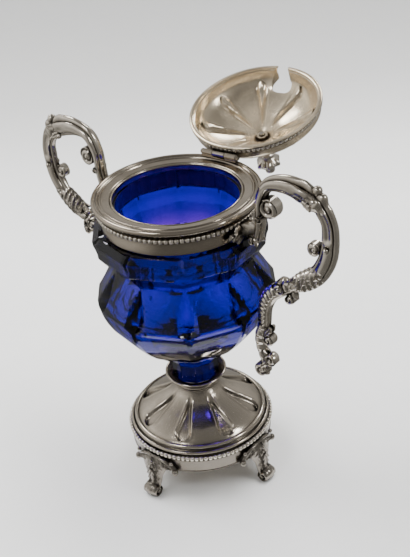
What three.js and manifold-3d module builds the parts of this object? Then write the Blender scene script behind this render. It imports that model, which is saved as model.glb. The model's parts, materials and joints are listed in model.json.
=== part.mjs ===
// A two-handled condiment pot: cut glass bowl in a silver mount, hinged lid with a spoon notch.
// Millimetres, +Z up, seen from above +X is the right handle and -Y the front foot.
// Pieces are laid out round the bowl's axis, and the whole is then moved to its own frame.
import * as THREE from "three";
import { mergeVertices } from "three/addons/utils/BufferGeometryUtils.js";
import Module from "manifold-3d";

const wasm = await Module();
wasm.setup();

// Clearances
const gap = 0.3; // between pieces that are soldered, screwed or cemented together
const pinClearance = 0.1; // between the hinge pin and its knuckles

// Foot
const skirtRadius = 29.3; // outside of the plain band
const skirtHeight = 6.2;
const legHeight = 12.5; // floor to the lower edge of the band
const toeRadius = 34.2; // bowl axis to the middle of a toe
const toeFlat = 4.2; // length and width of a toe's resting face
const domeRise = 16.8; // dome edge to its neck
const domeNeckRadius = 8.6;
const sheet = 0.9; // thickness of the raised silver
const beadRadius = 0.85;
const footBeads = 100;
const footBeadInset = 1.3; // the beads' seat inside the plain band
const collarBeads = 100;

// Stem
const neckRingHeight = 1.8;
const neckRingInset = 0.4; // neck ring inside the stem
const dishRim = 2.9; // dish's edge outside the stem
const dishHeight = 3.3;
const plasterHeight = 0.9;
const rodRadius = 2;
const nutAcrossCorners = 9;

// Glass
const glassHeight = 79; // from the end of the stem to the top of the mouth
const stemRadius = 9.7;
const stemHeight = 8; // straight part of the stem
const bellyRadius = 34.6; // to the middle of the ten lobes, at their lower edge
const bellyHeight = 41.4;
const lobeHeight = 6; // lower edge to the fullest part between two valleys
const valleyInset = 3.6; // valley between two lobes inside the belly's radius
const valleyRadius = 27.8; // higher up
const waistRadius = 27.3;
const waistHeight = 54.9;
const flatsRadius = 32.8; // lower edge of the upper band of ten flats
const flatsLow = 62.4;
const flatsHigh = 66.9;
const shoulderHeight = 71;
const glassWall = 3.4;
const lipWall = 3;
const glassFloor = 21; // thickness of solid glass under the hollow, stem included
const sides = 10;
const glassTurn = 5; // degrees, first glass corner from the front towards +X

// Collar
const seatRadius = 28.2; // inside of the ridge round the lid's seat
const seatWidth = 4.3; // ridge to the mouth
const flangeRadius = 32;
const flangeBead = 1.1; // radius of the flange's rounded edge
const bandRadius = 29.2;
const bandHeight = 10.9; // rim plane to the lower edge of the band
const bandWall = 1.3;
const beadDrop = 4.5; // rim plane to the row of beads
const plasterWidth = 1.3;
const rimAboveGlass = 3.4;
const seatDrop = 0.4; // the lid's seat under the rim plane

// Lid and hinge
const lidClearance = 0.9; // all round, inside the ridge of the seat
const lidRimWidth = 1.6; // flat ring the lid rests on
const lidRimThickness = 0.7;
const lidBeadRadius = 0.65;
const lidBeads = 80;
const lidBandInset = 1.3; // lid's plain band inside its edge
const lidBandTop = 5.2; // above the lid's lower face, as the next three
const lidMiddle = 17.9;
const lidShoulder = 10.6;
const lidTurn = -4; // degrees, the lid's pattern against its hinge
const notchMouth = 5;
const notchWidth = 9.2; // widest part of the spoon notch
const notchLength = 7.4; // lid's edge to the notch's inner end
const hingeInset = 3.3; // hinge axis inside the flange's edge
const hingeRise = 2.3; // hinge axis above the rim plane
const hingeLength = 15.5;
const hingeTurn = 4.2; // degrees, the hinge from the back towards -X
const openAngle = 165; // degrees
const barrelRadius = 1.15;
const pinRadius = 0.6;
const leafThickness = 0.9;
const leafWidth = 10;
const finialHeight = 16.6;
const finialRadius = 4.9;
const studRadius = 1.1;

// Handles
const handleReach = 36.8; // from the tail's line to the outermost edge
const handleRise = 19.3; // above the rim plane
const handleDepth = 5.6; // thickness across the scroll
const tailInset = 0.5; // the tail's line inside the belly's radius, where the belly falls away

// Heights from the floor
const skirtTop = legHeight + skirtHeight;
const footBeadZ = skirtTop + gap + beadRadius;
const domeEdgeZ = footBeadZ + beadRadius + gap;
const domeNeckZ = domeEdgeZ + domeRise;
const neckRingZ = domeNeckZ + gap;
const dishZ = neckRingZ + neckRingHeight + gap;
const dishFloorZ = dishZ + sheet;
const plasterZ = dishFloorZ + gap;
const glassZ = plasterZ + plasterHeight + gap;
const glassTopZ = glassZ + glassHeight;
const rimZ = glassTopZ + rimAboveGlass;
const collarBottomZ = rimZ - bandHeight;
const collarBeadZ = rimZ - beadDrop;

// Radii that follow from the sizes above
const neckRingRadius = stemRadius - neckRingInset;
const dishRadius = stemRadius + dishRim;
const mouthRadius = seatRadius - seatWidth;
const hingeRadius = flangeRadius - hingeInset;
const lidRadius = seatRadius - lidClearance;
const lidBandRadius = lidRadius - lidBandInset;
const notchDepth = lidRadius - notchLength;
const lidZ = gap - seatDrop - hingeRise; // the lid's lower face, from the hinge axis
const lidBeadSeat = lidRadius - 2 * lidBeadRadius - 2 * gap + 0.2;
const lidBeadLow = lidZ + lidRimThickness + gap;
const lidBeadHigh = lidBeadLow + 2 * lidBeadRadius;
const leafLow = lidBeadHigh + gap;
const beadSeat = bandRadius - 0.6;
const collarBeadRadius = beadSeat + gap + beadRadius;
const footBeadSeat = skirtRadius - footBeadInset;
const footBeadCentre = footBeadSeat + gap + beadRadius;
const bandInside = bandRadius - bandWall;
const neckOutside = bandInside - gap - plasterWidth;
const faceShare = Math.cos(Math.PI / sides); // a flat's middle against its corners
const tailLine = Math.max(bellyRadius, flatsRadius) - tailInset;

const roundSteps = 36;
const smallSteps = 14;
const degrees = THREE.MathUtils.degToRad;

// Surfaces
const silver = new THREE.MeshStandardMaterial({ color: 0xb4a893, roughness: 0.25, metalness: 1 });
const darkSilver = new THREE.MeshStandardMaterial({ color: 0x77695a, roughness: 0.4, metalness: 1 });
const paleGilt = new THREE.MeshStandardMaterial({ color: 0xbba98c, roughness: 0.3, metalness: 1 });
const cobaltGlass = new THREE.MeshStandardMaterial({ color: 0x10108c, roughness: 0.05, metalness: 0 });
const plaster = new THREE.MeshStandardMaterial({ color: 0xd8d2c4, roughness: 0.95, metalness: 0 });
const iron = new THREE.MeshStandardMaterial({ color: 0x5c5854, roughness: 0.6, metalness: 1 });

// Turns a closed geometry into a solid, with its faces pointing out.
function solid(geometry) {
  const bare = geometry.clone();
  bare.deleteAttribute("normal");
  bare.deleteAttribute("uv");
  const merged = mergeVertices(bare, 1e-4);
  const vertProperties = merged.attributes.position.array;
  const triVerts = new Uint32Array(merged.index.array);
  const made = new wasm.Manifold(new wasm.Mesh({ numProp: 3, vertProperties, triVerts }));
  if (made.volume() > 0) return made;
  triVerts.reverse();
  return new wasm.Manifold(new wasm.Mesh({ numProp: 3, vertProperties, triVerts }));
}

function join(solids) {
  return solids.reduce((whole, piece) => whole.add(piece));
}

function namedMesh(name, shape, material) {
  const made = shape.getMesh();
  const geometry = new THREE.BufferGeometry();
  geometry.setAttribute("position", new THREE.BufferAttribute(made.vertProperties, 3));
  geometry.setIndex(new THREE.BufferAttribute(made.triVerts, 1));
  geometry.computeVertexNormals();
  const mesh = new THREE.Mesh(geometry, material);
  mesh.name = name;
  return mesh;
}

// Revolves a profile of [radius, height] points about Z. A ring's profile closes on itself.
function revolve(profile, steps = roundSteps, closed = false) {
  const points = profile.map(([radius, height]) => new THREE.Vector2(radius, height));
  if (closed) points.push(points[0].clone());
  return solid(new THREE.LatheGeometry(points, steps).rotateX(Math.PI / 2));
}

function ring(profile, steps = roundSteps) {
  return revolve(profile, steps, true);
}

// Skins a row of rings that all have the same number of points.
function skin(rings, closed = false) {
  const count = rings[0].length;
  const index = [];
  const spans = closed ? rings.length : rings.length - 1;
  for (let i = 0; i < spans; i++) {
    const near = i * count;
    const far = ((i + 1) % rings.length) * count;
    for (let j = 0; j < count; j++) {
      const next = (j + 1) % count;
      index.push(near + j, near + next, far + next, near + j, far + next, far + j);
    }
  }
  const end = (rings.length - 1) * count;
  for (let j = 1; j < count - 1 && !closed; j++) {
    index.push(0, j + 1, j, end, end + j, end + j + 1);
  }
  const geometry = new THREE.BufferGeometry().setFromPoints(rings.flat());
  geometry.setIndex(index);
  return solid(geometry);
}

// Extrudes an outline in the XZ plane through a width along Y, centred on Y = 0.
function slab(outline, width) {
  const shape = new THREE.Shape(outline.map(([x, z]) => new THREE.Vector2(x, z)));
  const geometry = new THREE.ExtrudeGeometry(shape, { depth: width, bevelEnabled: false });
  return solid(geometry.translate(0, 0, -width / 2).rotateX(Math.PI / 2));
}

function rod(radius, length, steps = 12) {
  return solid(new THREE.CylinderGeometry(radius, radius, length, steps).rotateZ(Math.PI / 2));
}

// Points on a smooth curve through [x, y] points, spans counted in all.
function smooth(points, spans) {
  const curve = new THREE.SplineCurve(points.map(([x, y]) => new THREE.Vector2(x, y)));
  return curve.getPoints(spans).map((point) => [point.x, point.y]);
}

function arc(x, y, radius, from, to, spans) {
  const points = [];
  for (let i = 0; i <= spans; i++) {
    const angle = degrees(from + ((to - from) * i) / spans);
    points.push([x + radius * Math.cos(angle), y + radius * Math.sin(angle)]);
  }
  return points;
}

function polar(radius, angle, height) {
  return new THREE.Vector3(radius * Math.cos(angle), radius * Math.sin(angle), height);
}

// A row of beads on a wire: full round at each bead, narrow between two.
function beadRow(centre, height, bead, beads) {
  const rings = [];
  for (let i = 0; i < 2 * beads; i++) {
    const angle = (Math.PI * i) / beads;
    const swell = i % 2 ? 0.4 * bead : bead;
    rings.push([
      polar(centre - bead, angle, height - swell),
      polar(centre + swell, angle, height),
      polar(centre - bead, angle, height + swell),
    ]);
  }
  return skin(rings, true);
}

// Raised sheet with eight sunk channels that run from the middle to a round end near the edge.
// The outside profile goes from the edge in to the middle, the inside one back out.
function channelledSheet(outside, inside, channels) {
  const { count, depth, from, to, halfWidth, turn } = channels;
  const pitch = (2 * Math.PI) / count;
  const offsets = [-0.5 * pitch, -halfWidth, 0, halfWidth];
  function sink(radius, offset) {
    const along = Math.min((radius - from) / (0.5 * (to - from)), (to - radius) / (0.18 * (to - from)), 1);
    const across = 1 - (offset / halfWidth) ** 2;
    return depth * Math.sqrt(Math.max(along, 0)) * Math.max(across, 0);
  }
  function ringAt([radius, height]) {
    const points = [];
    for (let i = 0; i < count; i++) {
      for (const offset of offsets) {
        points.push(polar(radius, turn + i * pitch + offset, height - sink(radius, offset)));
      }
    }
    return points;
  }
  return skin([...outside, ...inside].map(ringAt), true);
}

// How flat a side is: 0 is round, 1 straight from corner to corner, and less than 0 swells out.
function flatness(corner, middle) {
  return (middle / corner - 1) / (faceShare - 1);
}

// The bowl: outline rings given as [corner radius, height, how flat its ten sides are].
function glassBowl() {
  const foot = [
    [stemRadius, 0, 1],
    [stemRadius, stemHeight, 1],
  ];
  const spread = bellyRadius - stemRadius;
  const under = smooth(
    [
      [stemRadius + 0.8, stemHeight + 3],
      [stemRadius + 0.59 * spread, stemHeight + 13.4],
      [stemRadius + 0.87 * spread, stemHeight + 21.4],
      [bellyRadius - 1.1, bellyHeight - 5.4],
    ],
    5,
  ).map(([radius, height]) => [radius, height, 1]);
  const valleyLow = bellyRadius - valleyInset;
  const midHeight = bellyHeight + lobeHeight;
  const lean = (bellyRadius - waistRadius * faceShare) / (waistHeight - bellyHeight);
  const midLobe = bellyRadius - lean * lobeHeight;
  const upper = [
    [bellyRadius - 0.7, bellyHeight - 2, 0.5],
    [valleyLow, bellyHeight, flatness(valleyLow, bellyRadius)],
    [valleyRadius, midHeight, flatness(valleyRadius, midLobe)],
    [waistRadius, waistHeight, 1],
    [flatsRadius, flatsLow, 1],
    [flatsRadius + 0.5, flatsHigh, 0.8],
    [flatsRadius + 0.4, flatsHigh + 1.8, 0.3],
    [bandRadius - 0.6, shoulderHeight, 0],
    [neckOutside, shoulderHeight + 0.4, 0],
    [neckOutside, glassHeight, 0],
  ];
  const mouth = neckOutside - lipWall;
  const hollow = [
    [mouth, glassHeight, 0],
    [waistRadius * faceShare - glassWall, waistHeight, 0],
    [valleyRadius - glassWall, midHeight, 0],
    [bellyRadius * faceShare - glassWall - 1, bellyHeight - 3, 0],
    [0.62 * bellyRadius, glassFloor + 5, 0],
    [0.34 * bellyRadius, glassFloor + 0.8, 0],
    [0, glassFloor, 0],
  ];
  const perSide = 4;
  const firstCorner = degrees(glassTurn - 90);
  const rings = [...foot, ...under, ...upper, ...hollow].map(([radius, height, flat]) => {
    const points = [];
    for (let i = 0; i < sides * perSide; i++) {
      const fromCorner = ((i % perSide) / perSide) * ((2 * Math.PI) / sides);
      const chord = faceShare / Math.cos(fromCorner - Math.PI / sides);
      const share = 1 + flat * (chord - 1);
      const angle = firstCorner + (2 * Math.PI * i) / (sides * perSide);
      points.push(polar(radius * share, angle, height));
    }
    return points;
  });
  return skin(rings).translate([0, 0, glassZ]);
}

function collar() {
  const edge = flangeRadius - flangeBead;
  const edgeZ = rimZ - 0.9;
  return ring([
    [bandInside, collarBottomZ],
    [bandRadius, collarBottomZ],
    [bandRadius, collarBeadZ - beadRadius - gap],
    [beadSeat, collarBeadZ - beadRadius - gap],
    [beadSeat, collarBeadZ + beadRadius + gap],
    [bandRadius + 0.4, collarBeadZ + beadRadius + 0.8],
    ...arc(edge, edgeZ, flangeBead, -150, 150, 6),
    [seatRadius + 0.9, rimZ - 0.5],
    [seatRadius + 0.5, rimZ],
    [seatRadius, rimZ],
    [seatRadius, rimZ - seatDrop],
    [lidRadius - lidRimWidth - 0.3, rimZ - seatDrop],
    [mouthRadius + 1, rimZ - seatDrop - 0.8],
    [mouthRadius + 0.4, rimZ - seatDrop - 0.6],
    [mouthRadius, rimZ - seatDrop - 1],
    [mouthRadius, glassTopZ + gap],
    [bandInside, glassTopZ + gap],
  ]);
}

function collarPlaster() {
  const inside = neckOutside + gap;
  const outside = bandInside - gap;
  const low = glassZ + shoulderHeight + 0.8;
  const high = glassTopZ - gap;
  return ring([[inside, low], [outside, low], [outside, high], [inside, high]]);
}

// The space the collar and its beads take up, grown by the gap, for what is fitted round them.
function collarEnvelope() {
  const beads = collarBeadRadius + beadRadius + gap;
  const flange = flangeRadius + gap;
  return revolve([
    [0, collarBottomZ - 20],
    [bandRadius + gap, collarBottomZ - 20],
    [bandRadius + gap, collarBeadZ - beadRadius - gap],
    [beads, collarBeadZ - beadRadius],
    [beads, collarBeadZ + beadRadius],
    [flange, rimZ - 2.2],
    [flange, rimZ + gap + 0.3],
    [0, rimZ + gap + 0.3],
  ]);
}

// Sweeps a section along a path in the XZ plane. Each stop is [x, z, width, depth].
function scroll(stops, steps, section) {
  const path = new THREE.SplineCurve(stops.map(([x, z]) => new THREE.Vector2(x, z)));
  const size = new THREE.SplineCurve(stops.map(([, , width, depth]) => new THREE.Vector2(width, depth)));
  const rings = [];
  for (let i = 0; i <= steps; i++) {
    const centre = path.getPoint(i / steps);
    const along = path.getTangent(i / steps);
    const half = size.getPoint(i / steps).multiplyScalar(0.5);
    rings.push(section.map(([across, deep]) => new THREE.Vector3(
      centre.x - along.y * across * half.x,
      deep * half.y,
      centre.y + along.x * across * half.x,
    )));
  }
  return skin(rings);
}

// Sections for scrolls: a round one, and one with four ridges and flutes between them.
function roundSection(count) {
  return Array.from({ length: count }, (_, i) => {
    const angle = (2 * Math.PI * (i + 0.5)) / count;
    return [Math.cos(angle), Math.sin(angle)];
  });
}

function flutedSection() {
  return Array.from({ length: 8 }, (_, i) => {
    const angle = (Math.PI * i) / 4;
    const reach = i % 2 ? 0.8 : 1;
    return [reach * Math.cos(angle), reach * Math.sin(angle)];
  });
}

// A curl that winds in to an eye. Start and turn are in degrees, the turn signed.
function volute(x, z, radius, start, turn, depth) {
  const stops = [];
  const spans = 5;
  for (let i = 0; i <= spans; i++) {
    const share = i / spans;
    const angle = degrees(start + turn * share);
    const reach = radius * (0.72 - 0.42 * share);
    const width = radius * (0.56 - 0.1 * share);
    stops.push([x + reach * Math.cos(angle), z + reach * Math.sin(angle), width, depth]);
  }
  const eye = solid(new THREE.CylinderGeometry(0.42 * radius, 0.42 * radius, 1.2 * depth, 5));
  return scroll(stops, 6, roundSection(4)).add(eye.translate([x, 0, z]));
}

// One cast handle at +X. Its places are taken from the tail's line and the rim plane.
function handle() {
  const x = (out) => tailLine + out;
  const z = (up) => rimZ + up;
  const outer = handleReach;
  const top = handleRise;
  const deep = handleDepth;
  const arm = scroll(
    [
      [x(3.2), z(-7.6), 3.6, deep],
      [x(4.6), z(0), 3.4, deep],
      [x(5.2), z(7), 4, deep],
      [x(8.6), z(top - 6.2), 5, deep],
      [x(15), z(top - 4.2), 7, deep],
      [x(21.5), z(top - 4.8), 8.4, deep * 1.1],
      [x(outer - 8.6), z(top - 7.6), 7.4, deep],
      [x(outer - 4.4), z(top - 13.2), 6.4, deep],
      [x(outer - 3.3), z(0), 6.8, deep],
      [x(outer - 4.5), z(-8.2), 7.2, deep],
      [x(outer - 8.4), z(-15.8), 7, deep],
      [x(outer - 14), z(-20.8), 7.6, deep * 1.1],
      [x(outer - 19.6), z(-24.6), 5.2, deep],
    ],
    17,
    flutedSection(),
  );
  const lowerScroll = scroll(
    [
      [x(17.6), z(-24), 5.6, deep],
      [x(12.2), z(-27.6), 6, deep * 0.9],
      [x(7), z(-32), 6, deep * 0.8],
      [x(4.3), z(-37.6), 5.6, deep * 0.75],
      [x(3.6), z(-43.6), 5.4, deep * 0.7],
      [x(3.4), z(-48.6), 5, deep * 0.7],
    ],
    8,
    flutedSection(),
  );
  const tail = scroll(
    [
      [x(3.6), z(-45), 6.4, deep * 0.8],
      [x(1.5), z(-51), 5.4, deep * 0.8],
      [x(1.1), z(-55.6), 4.8, deep * 0.7],
      [x(2), z(-60.4), 3.6, deep * 0.6],
      [x(3.5), z(-65), 2.6, deep * 0.55],
      [x(3), z(-69.2), 2, deep * 0.5],
    ],
    7,
    roundSection(6),
  );
  const curls = [
    volute(x(9.4), z(4.6), 4, 130, -330, deep * 0.9),
    volute(x(27), z(-6.4), 2.9, 10, 300, deep * 0.6),
    volute(x(12.2), z(-26.6), 3, 60, 300, deep * 1.1),
    volute(x(15.4), z(-30.2), 2.4, 120, -280, deep * 0.8),
    volute(x(5.4), z(-52.4), 2.6, 130, -310, deep * 0.75),
    volute(x(5.9), z(-61.2), 2.9, 215, 300, deep * 0.75),
    volute(x(0.9), z(-67.6), 3.4, -20, 320, deep * 0.7),
  ];
  const knob = solid(new THREE.SphereGeometry(1.7, 6, 4)).translate([x(28.6), 0, z(top - 2.9)]);
  const root = slab(
    [
      [bandRadius - 2, rimZ - 8.6],
      [x(1.2), z(-8.8)],
      [x(5), z(-7)],
      [x(6.4), z(-4)],
      [x(5), z(0.6)],
      [x(4), z(4)],
      [x(-1.6), z(2.2)],
      [bandRadius + 1, rimZ + 1],
    ],
    deep,
  );
  return join([arm, lowerScroll, tail, ...curls, knob, root, leafWing(1), leafWing(-1)])
    .subtract(collarEnvelope());
}

// A leaf that runs from the handle's root along the collar, to one side.
function leafWing(side) {
  const reach = 16;
  const steps = 4;
  const rings = [];
  for (let i = 0; i <= steps; i++) {
    const share = i / steps;
    const angle = side * degrees(reach * share);
    const rise = 3.6 * (1 - share) ** 0.6 + 0.5;
    const thick = 1.6 * (1 - 0.6 * share);
    const middle = rimZ - 5 - 1.4 * share;
    const inside = bandRadius;
    const outside = collarBeadRadius + beadRadius + gap + thick;
    rings.push([
      polar(inside, angle, middle + rise),
      polar(outside, angle, middle + 0.5 * rise),
      polar(outside, angle, middle - 0.5 * rise),
      polar(inside, angle, middle - rise),
    ]);
  }
  return skin(rings);
}

function dish() {
  const edge = dishZ + dishHeight;
  return ring(
    [
      [rodRadius + gap, dishZ],
      [neckRingRadius - 1.3, dishZ],
      [neckRingRadius + 0.4, dishZ + 1.2],
      [dishRadius - 0.4, edge - 0.7],
      [dishRadius, edge - 0.3],
      [dishRadius - 0.2, edge],
      [dishRadius - 0.8, edge - 0.1],
      [stemRadius + 0.6, dishFloorZ + 0.6],
      [stemRadius - 0.6, dishFloorZ],
      [rodRadius + gap, dishFloorZ],
    ],
    24,
  );
}

function dishPlaster() {
  const inside = rodRadius + 2 + gap;
  const outside = stemRadius - 1.3;
  const high = plasterZ + plasterHeight;
  return ring([[inside, plasterZ], [outside, plasterZ], [outside, high], [inside, high]], smallSteps);
}

function neckRing() {
  const inside = rodRadius + gap;
  const outside = neckRingRadius - 0.5 * neckRingHeight;
  const middle = neckRingZ + 0.5 * neckRingHeight;
  return ring(
    [
      [inside, neckRingZ],
      ...arc(outside, middle, 0.5 * neckRingHeight, -90, 90, 4),
      [inside, neckRingZ + neckRingHeight],
    ],
    24,
  );
}

function stemRod() {
  const head = rodRadius + 2;
  const low = domeNeckZ - sheet - gap - 5.2;
  return revolve(
    [
      [0, low],
      [rodRadius, low],
      [rodRadius, dishFloorZ + gap],
      [head, dishFloorZ + gap],
      [head, dishFloorZ + gap + 0.8],
      [0, dishFloorZ + gap + 0.8],
    ],
    16,
  );
}

function footNut() {
  const high = domeNeckZ - sheet - gap;
  const low = high - 3.6;
  const inside = (rodRadius + gap) / Math.cos(Math.PI / 6);
  const outside = nutAcrossCorners / 2;
  return ring([[inside, low], [outside, low], [outside, high], [inside, high]], 6);
}

function footDome() {
  const crease = skirtRadius - 2.3;
  const outside = [
    [footBeadSeat, legHeight + 1],
    [footBeadSeat, domeEdgeZ],
    [skirtRadius - 0.4, domeEdgeZ],
    [skirtRadius - 0.3, domeEdgeZ + 1.4],
    [crease + 1, domeEdgeZ + 2.5],
    [crease, domeEdgeZ + 2.4],
    ...smooth(
      [
        [crease - 0.3, domeEdgeZ + 3],
        [crease - 2.6, domeEdgeZ + 5.6],
        [0.5 * (crease + domeNeckRadius) + 1, domeEdgeZ + 8.4],
        [domeNeckRadius + 3, domeEdgeZ + 0.72 * domeRise],
        [domeNeckRadius, domeNeckZ - 1],
      ],
      4,
    ),
    [domeNeckRadius, domeNeckZ],
    [rodRadius + gap, domeNeckZ],
  ];
  const inside = [
    [rodRadius + gap, domeNeckZ - sheet],
    [domeNeckRadius - sheet, domeNeckZ - sheet],
    ...smooth(
      [
        [domeNeckRadius + 2.4, domeEdgeZ + 0.72 * domeRise - sheet],
        [0.5 * (crease + domeNeckRadius), domeEdgeZ + 8.4 - sheet],
        [crease - 3.2, domeEdgeZ + 5.2 - sheet],
        [footBeadSeat - sheet, domeEdgeZ],
      ],
      3,
    ),
    [footBeadSeat - sheet, legHeight + 1],
  ];
  return channelledSheet(outside, inside, {
    count: 8,
    depth: 0.9,
    from: domeNeckRadius + 1.5,
    to: crease - 0.6,
    halfWidth: degrees(11),
    turn: degrees(22.5),
  });
}

function skirtBand() {
  const inside = footBeadSeat + gap;
  return ring([
    [inside, legHeight],
    [skirtRadius, legHeight],
    [skirtRadius, skirtTop - 0.5],
    [skirtRadius - 0.4, skirtTop],
    [inside, skirtTop],
  ]);
}

// One cast foot at +X: a leaf on the band with two wings, a leg and a curled toe.
function foot() {
  const seat = skirtRadius + gap;
  const leg = scroll(
    [
      [seat + 0.9, skirtTop - 0.6, 2.4, 8.6],
      [seat + 1.6, legHeight + 2.4, 3.6, 9.4],
      [seat + 1.9, legHeight - 1, 3.6, 7.8],
      [seat + 1.9, 0.6 * legHeight, 3.2, 6.4],
      [seat + 2.6, 0.36 * legHeight, 3.1, 5.6],
      [toeRadius, 2.2, 3.2, 5.4],
    ],
    7,
    flutedSection(),
  );
  const toe = rod(2.5, toeFlat, 8).rotate([0, 0, 90]).translate([toeRadius, 0, 2.2]);
  const cap = solid(new THREE.BoxGeometry(toeFlat, toeFlat, 1)).translate([toeRadius, 0, 0.5]);
  const underFloor = revolve([[0, -5], [80, -5], [80, 0], [0, 0]], 8);
  const low = legHeight - 1.2;
  const high = skirtTop + 1;
  const bandRoom = revolve([[0, low], [seat, low], [seat, high], [0, high]]);
  return join([leg, toe, cap, footWing(1), footWing(-1)]).subtract(underFloor).subtract(bandRoom);
}

function footWing(side) {
  const seat = skirtRadius + gap;
  const reach = 19;
  const steps = 4;
  const rings = [];
  for (let i = 0; i <= steps; i++) {
    const share = i / steps;
    const angle = side * degrees(reach * share);
    const rise = 2.4 * (1 - share) ** 0.7 + 0.6;
    const thick = 2 - 1.1 * Math.sin(Math.PI * share);
    const middle = legHeight + 0.5 * skirtHeight - 1.2 * Math.sin(Math.PI * share);
    rings.push([
      polar(seat, angle, middle + rise),
      polar(seat + thick, angle, middle + 0.5 * rise),
      polar(seat + thick, angle, middle - 0.5 * rise),
      polar(seat, angle, middle - rise),
    ]);
  }
  return skin(rings);
}

// Hinge pieces and lid lie in the hinge's frame: X along the pin, Y away from the bowl.
function hingePlate() {
  const axisZ = rimZ + hingeRise;
  const low = rimZ + 0.5;
  const inside = lidRadius + 0.7;
  const outside = flangeRadius - 0.7;
  const middle = [0, (inside + outside) / 2, low + leafThickness / 2];
  const plate = solid(new THREE.BoxGeometry(hingeLength, outside - inside, leafThickness)).translate(middle);
  const barrel = rod(barrelRadius, hingeLength).translate([0, hingeRadius, axisZ]);
  const bore = rod(pinRadius + pinClearance, hingeLength + 2).translate([0, hingeRadius, axisZ]);
  const room = barrelRadius + gap;
  const slot = solid(new THREE.BoxGeometry(hingeLength / 3 + 2 * gap, 2 * room, 2 * room))
    .translate([0, hingeRadius, axisZ]);
  return plate.add(barrel).subtract(bore).subtract(slot);
}

function hingePin() {
  const half = hingeLength / 2 + 0.2;
  const head = pinRadius + 0.3;
  return revolve(
    [
      [0, -half - 0.5],
      [head - 0.3, -half - 0.5],
      [head, -half - 0.2],
      [head, -half],
      [pinRadius, -half],
      [pinRadius, half],
      [head, half],
      [head, half + 0.2],
      [head - 0.3, half + 0.5],
      [0, half + 0.5],
    ],
    12,
  ).rotate([0, 90, 0]);
}

// The lid's own pieces are placed from the hinge axis, with the lid shut.
function lidHingeLeaf() {
  const knuckleWidth = hingeLength / 3;
  const leafZ = leafLow + leafThickness / 2;
  const reach = hingeRadius - lidBandRadius + 2.9; // hinge axis to well inside the lid's band
  const near = barrelRadius + 0.45;
  const wide = solid(new THREE.BoxGeometry(leafWidth, reach - near, leafThickness))
    .translate([0, -(reach + near) / 2, leafZ]);
  const arm = solid(new THREE.BoxGeometry(knuckleWidth, reach - 0.2, leafThickness))
    .translate([0, -(reach + 0.2) / 2, leafZ]);
  const knuckle = rod(barrelRadius, knuckleWidth);
  const bore = rod(pinRadius + pinClearance, knuckleWidth + 2);
  const lidWall = revolve([[0, -4], [lidBandRadius + gap, -4], [lidBandRadius + gap, 8], [0, 8]])
    .translate([0, -hingeRadius, 0]);
  return wide.add(arm).add(knuckle).subtract(bore).subtract(lidWall);
}

function lidShell() {
  const up = (height) => lidZ + height;
  const shoulder = leafLow;
  const wall = lidRadius - lidRimWidth;
  const hole = studRadius + 0.4;
  const outside = [
    [lidRadius, up(0)],
    [lidRadius, up(lidRimThickness)],
    [lidBeadSeat, up(lidRimThickness)],
    [lidBeadSeat, shoulder],
    [lidBandRadius, shoulder],
    [lidBandRadius - 0.1, up(lidBandTop)],
    ...smooth(
      [
        [lidBandRadius - 0.7, up(lidBandTop + 1)],
        [0.86 * lidBandRadius, up(0.82 * lidShoulder)],
        [0.7 * lidBandRadius, up(lidShoulder)],
        [0.5 * lidBandRadius, up(lidShoulder + 1.7)],
        [0.3 * lidBandRadius, up(lidShoulder + 3.5)],
        [0.16 * lidBandRadius, up(lidMiddle - 1.5)],
        [2.8, up(lidMiddle)],
      ],
      6,
    ),
    [hole, up(lidMiddle)],
  ];
  const inside = [
    [hole, up(lidMiddle - sheet)],
    ...smooth(
      [
        [2.4, up(lidMiddle - sheet)],
        [0.14 * lidBandRadius, up(lidMiddle - 1.5 - sheet)],
        [0.3 * lidBandRadius - 0.4, up(lidShoulder + 3.5 - sheet)],
        [0.5 * lidBandRadius - 0.2, up(lidShoulder + 1.7 - sheet)],
        [0.7 * lidBandRadius - 0.3, up(lidShoulder - sheet)],
        [0.86 * lidBandRadius - 0.6, up(0.82 * lidShoulder - sheet)],
        [wall - 1.2, up(lidBandTop - 0.4)],
      ],
      5,
    ),
    [wall - 1.1, up(lidRimThickness + 0.4)],
    [wall, up(0)],
  ];
  return channelledSheet(outside, inside, {
    count: 8,
    depth: 0.9,
    from: 4,
    to: lidBandRadius - 1.6,
    halfWidth: degrees(9),
    turn: degrees(22.5 - 90),
  }).subtract(spoonNotch());
}

// A pear-shaped cutter: wide inside the edge, with a narrow way out through it, at the front.
function spoonNotch() {
  const half = notchWidth / 2;
  const side = [
    [0.5 * notchMouth, lidRadius + 3],
    [0.5 * notchMouth, lidRadius - 1.2],
    [0.8 * half, notchDepth + 4.6],
    [half, notchDepth + 3],
    [half, notchDepth + 1.7],
    [0.84 * half, notchDepth + 0.6],
    [0.4 * half, notchDepth],
  ];
  const mirrored = side.map(([x, out]) => [-x, out]).reverse();
  const outline = new THREE.Shape([...side, ...mirrored].map(([x, out]) => new THREE.Vector2(x, -out)));
  const cutter = solid(new THREE.ExtrudeGeometry(outline, { depth: 40, bevelEnabled: false }));
  return cutter.translate([0, 0, -10]);
}

function lidBeadRow() {
  const centre = lidBeadSeat + gap + lidBeadRadius;
  return beadRow(centre, lidBeadLow + lidBeadRadius, lidBeadRadius, lidBeads).subtract(spoonNotch());
}

// The bud and its neck, turned from one outline, with a stud down through the lid.
function finial() {
  const low = lidZ + lidMiddle + gap;
  const up = (share) => low + share * finialHeight;
  const outline = [
    [0, low - 4.2],
    [studRadius, low - 4.2],
    [studRadius, low],
    [0.7 * finialRadius, low],
    [0.7 * finialRadius, up(0.05)],
    ...smooth(
      [
        [2.5, up(0.09)],
        [1.5, up(0.2)],
        [1.7, up(0.33)],
        [3, up(0.42)],
        [3.2, up(0.5)],
        [finialRadius, up(0.65)],
        [0.85 * finialRadius, up(0.76)],
        [2, up(0.83)],
        [2.1, up(0.91)],
        [1, up(0.985)],
      ],
      10,
    ),
    [0, up(1)],
  ];
  return revolve(outline, 12);
}

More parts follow.
